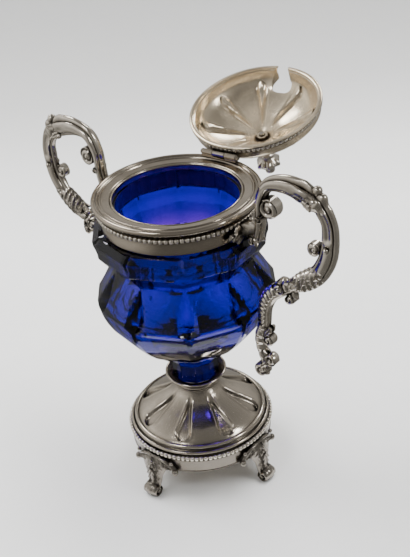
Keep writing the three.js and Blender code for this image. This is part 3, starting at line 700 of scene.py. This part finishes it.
def makeFinial():
    low = lidShape["low"] + lidShape["crown"] + finial["clear"]
    made = bmesh.new()
    rows = []
    for share, radius in [(0.0, 3.2), *through(finial["stops"], 4)]:
        leafy = 0.20 * hump(share, 0.64, 0.13) + 0.09 * hump(share, 0.4, 0.05)
        row = []
        for angle in circle(96):
            lobe = abs(math.cos(3 * angle)) ** 0.6 + 0.35 * math.cos(12 * angle)
            r = radius * (1 + leafy * (lobe - 0.75))
            row.append((r * math.cos(angle), r * math.sin(angle), low + share * finial["height"]
                        + 0.5 * hump(share, 0.67, 0.05) * math.cos(6 * angle)))
        rows.append(row)
    skin(rows, False, made)
    studRadius, studLength = finial["stud"]
    skin([[(studRadius * math.cos(a), studRadius * math.sin(a), z) for a in circle(16)]
          for z in (low - studLength, low)], False, made)
    keepPiece(made, "finial_cast", "finial", onLid, 60)


makeLid()
makeFinial()
print("lid raised")


# Sweeps a carved section along stops of (x, y, z, width, depth), depth lying along one axis. Carve
# gives the section's reach from the share along it and the angle from its outer side, in degrees.
def swept(made, stops, carve, deep=(0, 1, 0), spans=8, around=40):
    line = through(stops, spans)
    deep = Vector(deep)
    rows = []
    for i, stop in enumerate(line):
        before, after = line[max(i - 1, 0)], line[min(i + 1, len(line) - 1)]
        along = Vector(after[:3] - before[:3]).normalized()
        out = along.cross(deep).normalized()
        row = []
        for turn in circle(around):
            side = min(math.degrees(turn), 360 - math.degrees(turn))
            reach = 0.5 * carve(i / (len(line) - 1), side)
            row.append(Vector(stop[:3]) + out * (stop[3] * reach * math.cos(turn))
                       + deep * (stop[4] * reach * math.sin(turn)))
        rows.append(row)
    skin(rows, False, made)


def plainCarve(t, side):
    return 1


# One lobe of a cast leaf: it lies along one direction, faces up, and curls towards up at its tip.
def leaf(made, start, along, up, length, width, thick, curl):
    along, up = Vector(along).normalized(), Vector(up).normalized()
    up = (up - along * up.dot(along)).normalized()
    across = along.cross(up)
    place = Vector(start)
    rows = []
    steps, nicks = 14, 3
    for t in (i / steps for i in range(steps + 1)):
        bend = math.radians(curl) * t * t
        ahead = along * math.cos(bend) + up * math.sin(bend)
        top = up * math.cos(bend) - along * math.sin(bend)
        full = math.sin(math.pi * (0.13 + 0.84 * t)) ** 0.75
        half = 0.5 * width * full * (1 + 0.13 * math.cos(2 * math.pi * nicks * t))
        high = 0.5 * thick * (1 - 0.35 * t) * (0.35 + 0.65 * full)
        row = []
        for turn in circle(16):
            x, y = math.cos(turn), math.sin(turn)
            vein = 1 - 0.55 * hump(x, 0, 0.25) + 0.25 * hump(abs(x), 0.5, 0.25) if y > 0 else 1
            row.append(place + across * (half * x) + top * (high * y * vein - 0.2 * thick * x * x))
        rows.append(row)
        place = place + ahead * (length / steps)
    skin(rows, False, made)


def ball(made, centre, radius):
    rows = []
    for polar in (math.pi * i / 10 for i in range(1, 10)):
        level, up = radius * math.sin(polar), Vector((0, 0, radius * math.cos(polar)))
        rows.append([Vector(centre) + up + Vector((level * math.cos(spin), level * math.sin(spin), 0))
                     for spin in circle(14)])
    skin(rows, False, made)


# The same place or way on one side (1) or mirrored to the other (-1).
def sided(point, side):
    return point[0], point[1] * side, point[2]


# A place on a ring about the bowl's axis, at some degrees to one side.
def ringPlace(radius, degrees, side, height):
    a = math.radians(degrees) * side
    return radius * math.cos(a), radius * math.sin(a), height


# A leaf that lies along such a ring, away from its middle.
def ringLeaf(made, radius, side, row, thick, curl):
    degrees, height, length, width, drop = row
    out = Vector(ringPlace(1, degrees, side, 0))
    along = Vector((-out.y, out.x, 0)) * side + Vector((0, 0, drop))
    leaf(made, out * radius + Vector((0, 0, height)), along, out, length, width, thick, curl)


scroll = {
    "tighter": 0.2,       # share of its reach lost in one turn
    "windings": 1.45,
    "cut": 0.52,          # depth at the bottom of the spiral, and what its ridge adds, share of the whole
    "ridge": 0.46,
    "rim": 0.82,
    "eye": (0.28, 0.8, 0.3),           # radius, then height and crown of the button eye, as shares
}


# A rolled scroll with its spiral cut into both faces and a button eye. Start and turn in degrees.
def volute(made, x, z, radius, start, turn, depth, swell=0.0):
    steps, rings = 44, 15
    eye, eyeHigh, eyeCrown = scroll["eye"]
    way = math.copysign(1, turn)
    front, back = [], []
    for i in range(rings + 1):
        share = 0.05 + 0.95 * i / rings
        faces = ([], [])
        for k in range(steps):
            spin = 360 * k / steps
            wound = ((spin - start) * way % 360) / 360
            reach = radius * (1 - scroll["tighter"] * wound) * share
            phase = scroll["windings"] * share - wound
            high = scroll["cut"] + scroll["ridge"] * abs(math.sin(math.pi * phase)) ** 0.7
            if share < eye:
                high = eyeHigh + eyeCrown * math.sqrt(1 - (share / eye) ** 2)
            if i == rings:
                high = min(high, scroll["rim"])
            angle = math.radians(spin)
            for face, hand in zip(faces, (-1, 1)):
                face.append((x + reach * math.cos(angle), hand * 0.5 * depth * high,
                             z + reach * math.sin(angle)))
        front.append(faces[0])
        back.append(faces[1])
    belt = []
    if swell:                              # a hoof's roll, fuller in its middle than at its rims
        for share in (i / 12 for i in range(1, 12)):
            grooves = 0.09 * hump(share, 0.12, 0.05) + 0.09 * hump(share, 0.88, 0.05)
            full = 1 + swell * math.sin(math.pi * share) - grooves
            belt.append([(x + (p[0] - x) * full, p[1] + (q[1] - p[1]) * share, z + (p[2] - z) * full)
                         for p, q in zip(front[-1], back[-1])])
    skin(front + belt + back[::-1], False, made)


handle = {
    "depth": 5.6,         # mm across the scroll
    "arm": [              # mm: out, up, width, share of the depth
        (36.5, 114.8, 3.2, 0.8), (37.3, 117.4, 3.9, 0.95), (38.4, 121.5, 3.8, 1), (38.8, 126.5, 3.6, 1),
        (39.4, 132, 4.1, 1), (42.7, 138, 5, 1), (49.1, 140, 7, 1), (55.6, 139.4, 8.2, 1.08),
        (62.3, 136.7, 7.4, 1), (66.5, 131.1, 6.3, 0.96), (67.4, 125, 6.6, 0.96), (66.3, 116.8, 7.0, 0.98),
        (62.5, 109.2, 7, 1), (56.9, 104.2, 7.4, 1.06), (51.3, 100.4, 5.2, 1),
    ],
    "lower": [(52.2, 101.4, 4.6, 0.9), (46.3, 97.6, 6, 0.95), (41.1, 93, 6.1, 0.85), (38.4, 87.4, 5.8, 0.78),
              (37.7, 81.4, 5.4, 0.72), (37.5, 76.4, 4.6, 0.7)],
    "tail": [(37.7, 79, 5.6, 0.8), (35.8, 74, 5.2, 0.8), (35.4, 69.4, 4.6, 0.7), (36.1, 64.6, 3.6, 0.6),
             (37.4, 60, 2.8, 0.55), (37.1, 55.8, 2.2, 0.5)],
    "curls": [            # mm: out, up, radius, then start and turn in degrees, share of the depth
        (43.5, 129.6, 4, 130, -330, 0.9), (61.1, 118.6, 2.9, 10, 300, 0.6), (46.3, 98.4, 3, 60, 300, 1.1),
        (50.4, 94.9, 2.2, 120, -280, 0.8), (39.5, 72.8, 2.6, 130, -310, 0.78),
        (40, 63.8, 2.7, 215, 300, 0.75), (35.2, 57.6, 3.2, -20, 320, 0.7),
        (35.9, 115.4, 2.2, 60, 300, 1.1), (39.6, 124.6, 1.5, 60, 300, 1.1),
    ],
    "panel": (0.30, 0.49),             # shares along the arm: from, to
    "flute": (0.60, 0.735),
    "wrap": (0.855, 0.975),
    "oval": (0.80, 0.045),             # middle, half its length
    "calyx": 0.515,
    "knot": 0.578,
    "ribs": 15,
    "topBall": ((62.7, 0, 141), 1.75),                # mm: place, radius
    "sideBall": ((66.9, 2.5, 120.6), 1.05),
    "leaves": [           # mm: out, up, then which way it lies and faces, length, width
        (58.6, 139.2, (0.9, 0, -0.3), (0.2, 1, 0.5), 5, 3.4),
        (57.8, 136.6, (0.8, 0, -0.5), (0, 1, -0.2), 4.6, 3.2),
        (55.8, 104.8, (-1, 0, -0.5), (0, 1, 0.6), 4.6, 3.2),
        (52.6, 100.2, (-0.9, 0, 0.5), (0, 1, -0.4), 4, 3),
        (64.6, 110.6, (-0.7, 0, -0.8), (0, 1, 0.2), 4.4, 3),
        (60.6, 106.6, (-0.9, 0, -0.6), (0, 1, -0.2), 4.4, 3),
        (40.8, 78.6, (-0.6, 0, -1), (0.2, 1, 0), 4.4, 2.8),
        (36.4, 79, (0.5, 0, -1), (-0.2, 1, 0), 4.2, 2.8),
        (36.6, 67, (0.5, 0, -1), (0.2, 1, 0), 4.6, 2.6),
        (38.4, 62.6, (-0.7, 0, -1), (-0.3, 1, 0), 4, 2.4),
    ],
    "middleLeaves": [     # mm: place, ways, length, width, thickness, then degrees that it curls
        ((52, 0, 99.2), (0.1, 0, -1), (1, 0, 0), 4.2, 3.6, 1.6, 60),
        ((62.4, 0, 139.4), (0.6, 0, 1), (-1, 0, 0.6), 2.6, 3.2, 1.4, 10),
    ],
    "block": [            # mm: out, lowest, highest, half the width
        (29.3, 115.4, 118.6, 3.4), (30.6, 115.2, 118.7, 3.4), (30.9, 115, 121, 2.8),
        (32.6, 114.9, 121.8, 1.9), (35.4, 115, 121.6, 1.7), (37.4, 115.6, 121.4, 1.6),
    ],
    "rootLeaves": [       # degrees from the handle, height, length, width, drop
        (2, 118.4, 5.4, 5.2, -0.1), (5.5, 117.3, 4.4, 4.2, -0.32), (9.5, 116.7, 3.4, 3.2, 0.1),
        (4, 116, 3.4, 2.6, -0.9),
    ],
    "rootRadius": 31.2,
    "stalkLeaves": [      # as the middle leaves
        ((37, 1.1, 116.4), (0.25, 0.55, -1), (1, 0, 0), 3.2, 2.6, 1.4, 40),
        ((38.7, 1.4, 123.6), (0.5, 0.8, 0.9), (0.4, 1, 0), 3.2, 2.4, 1.2, 30),
    ],
}


# 1 between two shares of the way along and 0 outside them, with soft ends.
def between(t, span, soft):
    return ease((t - span[0]) / soft) * ease((span[1] - t) / soft)


def armCarve(t, side):
    panel = between(t, handle["panel"], 0.04)
    flute = between(t, handle["flute"], 0.02)
    wrap = between(t, handle["wrap"], 0.02)
    middle, half = handle["oval"]
    oval = math.sqrt(max(1 - ((t - middle) / half) ** 2, 0))
    plain = 1 - wrap
    calyx, knot = handle["calyx"], handle["knot"]
    # a ridge on the outer and the inner side, and a groove beside each
    reach = 0.94 + 0.09 * hump(side, 0, 22) + 0.05 * hump(side, 180, 22)
    reach -= (0.25 * hump(side, 40, 9) + 0.22 * hump(side, 138, 10)) * plain
    # a raised panel with a groove along it, then a hollow flute between two fillets
    reach += 0.10 * hump(side, 90, 28) * panel - 0.10 * hump(side, 92, 5) * panel
    reach += (0.08 * hump(side, 56, 8) + 0.08 * hump(side, 124, 8) - 0.34 * hump(side, 90, 24)) * flute
    # an oval boss in its sunk frame, and slanting leaf veins
    reach += 0.17 * oval * hump(side, 88, 24) - 0.2 * hump(abs(t - middle), 0.052, 0.008) * hump(side, 90, 40)
    reach += 0.15 * math.sin(2 * math.pi * (t * 42 + side / 80)) * wrap * ease(side / 40)
    # a lobed calyx, and a knot between two grooves
    reach += 0.14 * hump(t, calyx, 0.02) * math.cos(math.radians(5 * side))
    reach += 0.26 * hump(t, knot, 0.011) - 0.14 * hump(t, 0.553, 0.008) - 0.08 * hump(t, 0.60, 0.008)
    return reach


def lowerCarve(t, side):
    rib = abs(math.sin(math.pi * handle["ribs"] * t)) ** 0.6
    ribbed = ease((side - 64) / 8)
    reach = 0.96 + 0.06 * hump(side, 26, 16) - 0.14 * hump(side, 56, 8)
    return reach + (0.30 * rib - 0.20) * ribbed - 0.16 * hump(side, 4, 10) * (1 - ribbed)


def tailCarve(t, side):
    return (0.98 + 0.1 * math.cos(math.radians(3 * side)) + 0.1 * math.sin(2 * math.pi * 7 * t)
            * hump(side, 90, 45))


# The block that joins the handle to the collar, and the leaf that spreads from it.
def makeRoot(made):
    rows = []
    for x, low, high, half in handle["block"]:
        middle, tall = (low + high) / 2, (high - low) / 2
        rows.append([(x, half * squared(math.cos(a), 0.6), middle + tall * squared(math.sin(a), 0.6))
                     for a in circle(24)])
    skin(rows, False, made)
    for side in (-1, 1):
        for row in handle["rootLeaves"]:
            ringLeaf(made, handle["rootRadius"], side, row, 1.9, 42)
        for start, along, up, *sizes in handle["stalkLeaves"]:
            leaf(made, sided(start, side), sided(along, side), sided(up, side), *sizes)


def makeHandles():
    depth = handle["depth"]
    for name, node, turn in (("handle_cast_right", "handle_right", 0),
                             ("handle_cast_left", "handle_left", 180)):
        made = bmesh.new()
        for stops, carve, spans in ((handle["arm"], armCarve, 14), (handle["lower"], lowerCarve, 26),
                                    (handle["tail"], tailCarve, 14)):
            swept(made, [(x, 0, z, width, share * depth) for x, z, width, share in stops], carve,
                  spans=spans, around=44)
        for x, z, radius, start, wound, share in handle["curls"]:
            volute(made, x, z, radius, start, wound, share * depth)
        ball(made, *handle["topBall"])
        for side in (-1, 1):
            centre, radius = handle["sideBall"]
            ball(made, sided(centre, side), radius)
            for x, z, ahead, up, length, width in handle["leaves"]:
                y = (0.36 if z > 90 else 0.24) * depth * side        # the tail is thinner than the arm
                leaf(made, (x, y, z), ahead, sided(up, side), length, width, 1.7, 50)
        for placed in handle["middleLeaves"]:
            leaf(made, *placed)
        makeRoot(made)
        keepPiece(made, name, node, onBowl @ spun(turn), 50)


makeHandles()
print("handles cast")

leg = {
    "line": [             # mm: out, up, thickness, width
        (30.2, 18.7, 1.3, 6.4), (30.5, 17.3, 1.8, 8.6), (30.9, 15.2, 2.6, 11.6), (31.1, 13.2, 3, 12),
        (31.3, 11.4, 3.4, 10.2), (31.4, 9.4, 3.6, 8.6), (31.4, 7.2, 3.8, 7.4), (31.7, 5.2, 3.8, 6.6),
        (32.6, 3.4, 4.2, 6.4),
    ],
    "toe": (33.6, 2.5, 2.75, 200, -330, 7, 0.16),     # as a curl, with its width and its swell
    "topLeaf": ((31.3, 0, 17.6), (0.25, 0, -1), (1, 0, 0.2), 4.6, 3.4, 1.8, 36),
    "topBall": ((32.3, 0, 15.8), 0.9),
    "seat": 29.6,         # mm, radius of the back that lies on the band
    "seatLow": 11.2,      # mm, height of that back's lower edge
    "wingOut": 0.8,       # mm outside the seat
    "plateOut": 0.45,
    "wing": [             # degrees from the leg, height, thickness
        (3, 17.9, 1.2), (7, 17.6, 1.4), (11, 16.9, 1.5), (14.5, 15.6, 1.5), (17, 14, 1.5),
        (18.4, 12.9, 1.7), (17.9, 12.3, 1.5),
    ],
    # degrees, middle, height across
    "plate": [(0, 15.4, 6), (5, 15.4, 5), (9, 15.6, 3.6), (13, 15.2, 2.2), (16, 14.4, 1.4)],
    "knobs": [(18.4, 12.9, 1.38), (16, 17.2, 0.9)],                   # degrees, height, radius
    "knobRadius": 31.1,
    "leafRadius": 30.7,
    "wingLeaves": [       # degrees, height, length, width, drop
        (1.5, 16.9, 5, 3.2, -0.5), (5.5, 15.9, 4.6, 2.8, -0.45), (9.5, 15.3, 3.6, 2.4, -0.35),
    ],
    "legLeaves": [        # mm: out, up, width, length
        (32.6, 15.4, 2.6, 4.2), (33, 12.6, 2.3, 3.8), (32.9, 9.9, 2, 3.4), (32.9, 7.4, 1.8, 2.8),
    ],
}


# A rolled rim and a middle rib, each with a groove beside it, and slanting veins between them.
def legCarve(t, side):
    rim = 0.08 * hump(side, 78, 12) - 0.12 * hump(side, 52, 10)
    rib = 0.10 * hump(side, 0, 12) - 0.07 * hump(side, 24, 8)
    return 0.95 + rim + rib + 0.05 * math.sin(2 * math.pi * (5 * t - side / 60)) * hump(side, 40, 22)


# The wings, knobs and leaves that spread from the leg on one side.
def makeWing(made, side):
    seat = leg["seat"]
    wing = [(*ringPlace(seat + leg["wingOut"], degrees, side, height), thick, thick * 1.3)
            for degrees, height, thick in leg["wing"]]
    swept(made, wing, plainCarve, (1, 0, 0), 6, 14)
    plate = [(*ringPlace(seat + leg["plateOut"], degrees, side, height), high, 0.9)
             for degrees, height, high in leg["plate"]]
    swept(made, plate, plainCarve, (1, 0, 0), 4, 16)
    for degrees, height, radius in leg["knobs"]:
        ball(made, ringPlace(leg["knobRadius"], degrees, side, height), radius)
    for row in leg["wingLeaves"]:
        ringLeaf(made, leg["leafRadius"], side, row, 1.3, 38)
    for x, z, width, length in leg["legLeaves"]:
        leaf(made, (x, 0.5 * side, z), (-0.12, 0.62 * side, -1), (1, 0.5 * side, 0), length, width, 1.1, 32)


def makeFeet():
    for name, node, turn in (("foot_cast_front", "foot_front", -90), ("foot_cast_right", "foot_right", 0),
                             ("foot_cast_back", "foot_back", 90), ("foot_cast_left", "foot_left", 180)):
        made = bmesh.new()
        swept(made, [(x, 0, z, thick, width) for x, z, thick, width in leg["line"]], legCarve,
              spans=12, around=44)
        for vert in made.verts:                # the leg's top wraps round the band
            bend = vert.co.y / vert.co.x
            vert.co.x, vert.co.y = vert.co.x * math.cos(bend), vert.co.x * math.sin(bend)
        volute(made, *leg["toe"])
        for side in (-1, 1):
            makeWing(made, side)
        leaf(made, *leg["topLeaf"])
        ball(made, *leg["topBall"])
        for vert in made.verts:                # flat under the toe, and clear of the band behind
            vert.co.z = max(vert.co.z, 0)
            out = math.hypot(vert.co.x, vert.co.y)
            if out < leg["seat"] and vert.co.z > leg["seatLow"]:
                vert.co.x *= leg["seat"] / out
                vert.co.y *= leg["seat"] / out
        keepPiece(made, name, node, onBowl @ spun(turn), 50)


makeFeet()
print("feet cast")


def cardFinish(toward):
    finish, shader, wire, place = newFinish("paleCard")
    grain = noise(wire, place, 90.0, 4.0)
    start = floor["fadeStart"] * mm + toward.dot(bowlAxis)
    # Painted shade: the card grows darker with distance behind the bowl.
    shade = wire.node("ShaderNodeValToRGB", {"stops": floor["paintedShadeRamp"]},
                      {0: (place.along(toward) - start) * (1 / (floor["fadeLength"] * mm))})
    plug(shader, Base_Color=grain.mixed(floor["colour"], floor["grain"]).tinted(shade), Roughness=0.75)
    return finish


def layCard(made, name, finish):
    card = meshItem(made, name)
    card.data.materials.append(finish)
    return card


def layFloor():
    start = bowlAxis.y + floor["sweepStart"] * mm
    radius = floor["sweepRadius"] * mm
    profile = [(-floor["front"] * mm, 0.0), (start, 0.0)]
    for angle in (math.pi / 2 * i / 24 for i in range(1, 25)):
        profile.append((start + radius * math.sin(angle), radius * (1 - math.cos(angle))))
    profile.append((start + radius, floor["wall"] * mm))
    toward = Vector((-camera["place"][0], -camera["place"][1], 0)).normalized()
    across = Vector((toward.y, -toward.x, 0)) * (floor["width"] / 2 * mm)
    made = bmesh.new()
    left, right = [[made.verts.new(bowlAxis + across * side + toward * along + Vector((0, 0, up)))
                    for along, up in profile] for side in (-1, 1)]
    for i in range(len(profile) - 1):
        made.faces.new((left[i], right[i], right[i + 1], left[i + 1])).smooth = True
    bmesh.ops.recalc_face_normals(made, faces=made.faces)
    finish = cardFinish(toward)
    wide = layCard(made, "floor", finish)
    wide.location.z = -floor["drop"] * mm
    wide.visible_glossy = False            # the silver mirrors a dim room past the near card
    near = bmesh.new()
    near.faces.new([near.verts.new(bowlAxis + Vector((math.cos(a), math.sin(a), 0)) * floor["near"] * mm)
                    for a in circle(96)])
    layCard(near, "near_card", finish)


room = {
    "walls": [            # share of the way from straight down to straight up, and the tone there
        (0.0, (0.16, 0.157, 0.15, 1)), (0.30, (0.26, 0.255, 0.245, 1)), (0.50, (0.32, 0.315, 0.305, 1)),
        (0.68, (0.56, 0.553, 0.54, 1)), (0.84, (0.40, 0.395, 0.387, 1)), (1.0, (0.34, 0.336, 0.33, 1)),
    ],
    "lights": [           # m: place and target from the bowl, size, then watts, and if silver mirrors it
        ("window", (-0.75, -0.10, 0.85), (0, 0, 0.06), (0.9, 0.7), 17.5, False),
        ("ceiling", (0.15, 0.45, 1.05), (0, 0, 0.05), (1.0, 0.6), 18.0, False),
        ("left_strip", (-0.80, 0.25, 1.0), (0, 0, 0.08), (0.22, 0.34), 3.2, True),
        ("front_strip", (-0.10, -0.75, 0.95), (0, 0, 0.08), (0.34, 0.16), 2.4, True),
        ("right_strip", (0.85, 0.30, 0.75), (0, 0, 0.08), (0.18, 0.34), 2.8, True),
        ("back_strip", (-0.25, 0.85, 0.85), (0, 0, 0.08), (0.30, 0.12), 1.6, True),
    ],
}


def hangLight(name, place, target, size, power, mirrored):
    data = bpy.data.lights.new(name, "AREA")
    data.shape = "RECTANGLE"
    data.size, data.size_y = size
    data.energy = power
    item = bpy.data.objects.new(name, data)
    item.location = Vector(place) + bowlAxis
    item.visible_glossy = mirrored
    aim = Vector(target) + bowlAxis - item.location
    item.rotation_euler = aim.to_track_quat("-Z", "Y").to_euler()
    bpy.context.scene.collection.objects.link(item)


# A dim room, lighter behind the pot and lightest at a wall on its left.
def lightRoom():
    world = bpy.data.worlds.new("room")
    bpy.context.scene.world = world
    world.use_nodes = True
    wire = Wire(world.node_tree)
    way = wire.node("ShaderNodeTexCoord", out="Generated")
    up = wire.node("ShaderNodeSeparateXYZ", links={"Vector": way}, out="Z")
    walls = wire.node("ShaderNodeValToRGB", {"stops": room["walls"]}, {0: up * 0.5 + 0.5})
    behind = (way.along(-backward) * 0.3 + 0.72).clamped()
    leftWall = ((way.along(-rightward) - 0.45) * 2.2).clamped()
    backdrop = world.node_tree.nodes["Background"]
    world.node_tree.links.new(walls.tinted(behind + leftWall * 1.1).socket, backdrop.inputs["Color"])
    for light in room["lights"]:
        hangLight(*light)


backward, rightward = placeCamera()
layFloor()
lightRoom()
print("camera, floor and lights placed")

bpy.context.view_layer.update()
